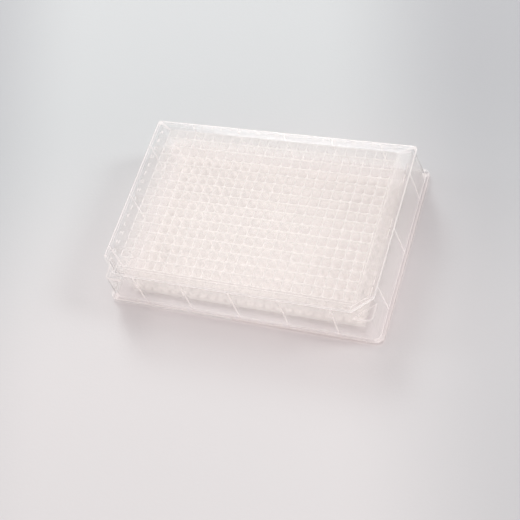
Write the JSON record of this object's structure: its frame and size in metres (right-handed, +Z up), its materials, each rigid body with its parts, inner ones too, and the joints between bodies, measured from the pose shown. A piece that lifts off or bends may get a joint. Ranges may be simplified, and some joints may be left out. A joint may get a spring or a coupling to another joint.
{
  "type": "well plate",
  "caption": "Clear moulded deep-well microplate: a grid of square wells under a flat deck, inside a hollow ribbed skirt with a base flange and notched corners.",
  "frame": {"origin": "middle of the footprint on the resting surface", "axes": "+X along the row of columns, from the first to the last; +Y across the plate, from the notched corners' side to the plain corners' side; +Z up, out of the wells' mouths"},
  "size_m": [0.1278, 0.0854, 0.0236],
  "materials": {
    "clear_polypropylene": "clear natural polypropylene, see-through in the thin skirt and deck, milky where the wells stand close together"
  },
  "bodies": {
    "root": {"well_plate": "clear_polypropylene"}
  },
  "joints": []
}
